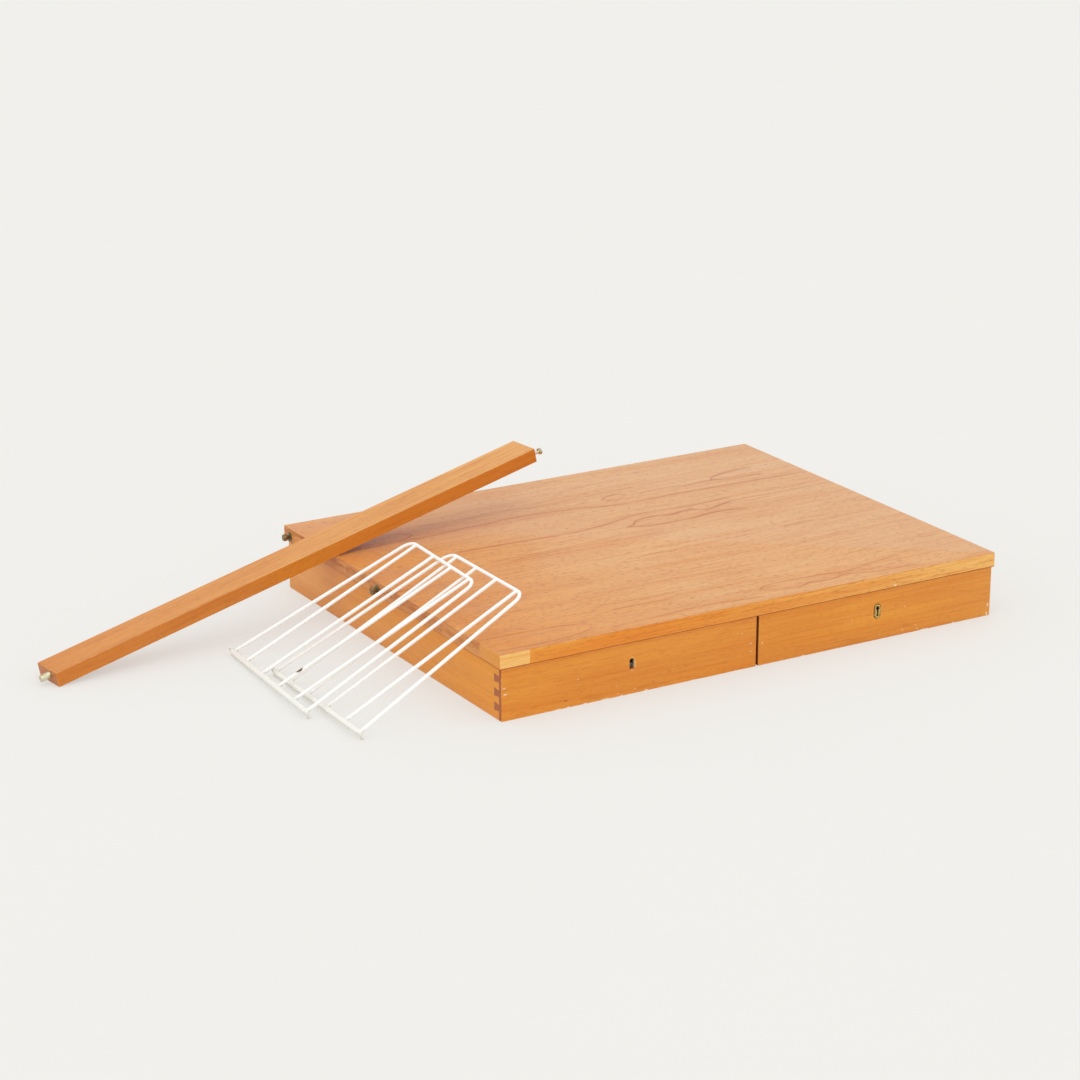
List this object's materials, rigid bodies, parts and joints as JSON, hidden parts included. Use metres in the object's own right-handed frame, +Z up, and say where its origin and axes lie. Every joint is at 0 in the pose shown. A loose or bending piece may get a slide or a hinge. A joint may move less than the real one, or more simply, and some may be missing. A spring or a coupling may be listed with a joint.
{
  "type": "wall-mounted shelf desk",
  "caption": "Wall-hung teak desk top with lockable dovetailed drawers under it, pegs for wall ladders, a loose cross rail and white wire racks leaning on it.",
  "frame": {"origin": "centre of the whole set's footprint, on the floor that it lies on", "axes": "+X to the right along the desk's front, +Y from the drawer fronts to the wall, +Z up"},
  "size_m": [1.2356, 0.6, 0.1825],
  "materials": {
    "teak_veneer": "oiled satin",
    "teak_lipping": "oiled satin",
    "teak_edge": "oiled satin",
    "pale_block": "oiled satin",
    "blockboard": "sawn",
    "teak_front": "oiled satin",
    "teak_side": "oiled satin",
    "teak_rail": "oiled satin",
    "beech": "planed",
    "plywood": "sanded",
    "steel": "satin",
    "lock_steel": "dull",
    "brass": "worn",
    "tarnished_brass": "tarnished",
    "nickel": "worn bright",
    "white_enamel": "gloss"
  },
  "bodies": {
    "desk_top": {"top_core": "blockboard", "top_veneer": "teak_veneer", "underside_veneer": "teak_veneer", "corner_block": "pale_block", "front_lipping": "teak_lipping", "back_edge_band": "teak_lipping", "left_edge_band": "teak_edge", "right_edge_band": "teak_edge", "peg_left_back": "tarnished_brass", "peg_left_middle": "tarnished_brass", "peg_right_back": "tarnished_brass", "peg_right_middle": "tarnished_brass", "peg_bushes": "tarnished_brass", "runner_screws": "steel", "strike_screws": "steel", "left_drawer_left_runner": "beech", "left_drawer_right_runner": "beech", "right_drawer_left_runner": "beech", "right_drawer_right_runner": "beech", "left_strike_plate": "lock_steel", "right_strike_plate": "lock_steel"},
    "left_drawer": {"left_drawer_front": "teak_front", "left_drawer_left_side": "teak_side", "left_drawer_right_side": "teak_side", "left_drawer_back": "beech", "left_drawer_bottom": "plywood", "left_drawer_bottom_screws": "steel", "left_lock_case": "lock_steel", "left_lock_pin": "lock_steel", "left_lock_screws": "steel"},
    "left_bolt": {"left_lock_bolt": "brass"},
    "right_drawer": {"right_drawer_front": "teak_front", "right_drawer_left_side": "teak_side", "right_drawer_right_side": "teak_side", "right_drawer_back": "beech", "right_drawer_bottom": "plywood", "right_drawer_bottom_screws": "steel", "right_lock_case": "lock_steel", "right_lock_pin": "lock_steel", "right_lock_screws": "steel", "right_keyhole_liner": "brass"},
    "right_bolt": {"right_lock_bolt": "brass"},
    "rail": {"cross_rail": "teak_rail", "rail_left_pin": "nickel", "rail_right_pin": "nickel"},
    "lower_rack": {"lower_rack_frame": "white_enamel", "lower_rack_wires": "white_enamel", "lower_rack_foot_rod": "white_enamel"},
    "upper_rack": {"upper_rack_frame": "white_enamel", "upper_rack_wires": "white_enamel", "upper_rack_foot_rod": "white_enamel"}
  },
  "joints": [
    {"name": "left_drawer_slide", "type": "slide", "parent": "desk_top", "child": "left_drawer", "axis": [0, -1, 0], "range_m": [0, 0.38]},
    {"name": "right_drawer_slide", "type": "slide", "parent": "desk_top", "child": "right_drawer", "axis": [0, -1, 0], "range_m": [0, 0.38]},
    {"name": "left_bolt_throw", "type": "slide", "parent": "left_drawer", "child": "left_bolt", "axis": [0, 0, 1], "range_m": [0, 0.006]},
    {"name": "right_bolt_throw", "type": "slide", "parent": "right_drawer", "child": "right_bolt", "axis": [0, 0, 1], "range_m": [0, 0.006]},
    {"name": "rail_lift", "type": "slide", "parent": "desk_top", "child": "rail", "axis": [0, 0, 1], "range_m": [0, 0.2]},
    {"name": "lower_rack_lift", "type": "slide", "parent": "desk_top", "child": "lower_rack", "axis": [0, 0, 1], "range_m": [0, 0.2]},
    {"name": "upper_rack_lift", "type": "slide", "parent": "lower_rack", "child": "upper_rack", "axis": [0, 0, 1], "range_m": [0, 0.2]}
  ]
}
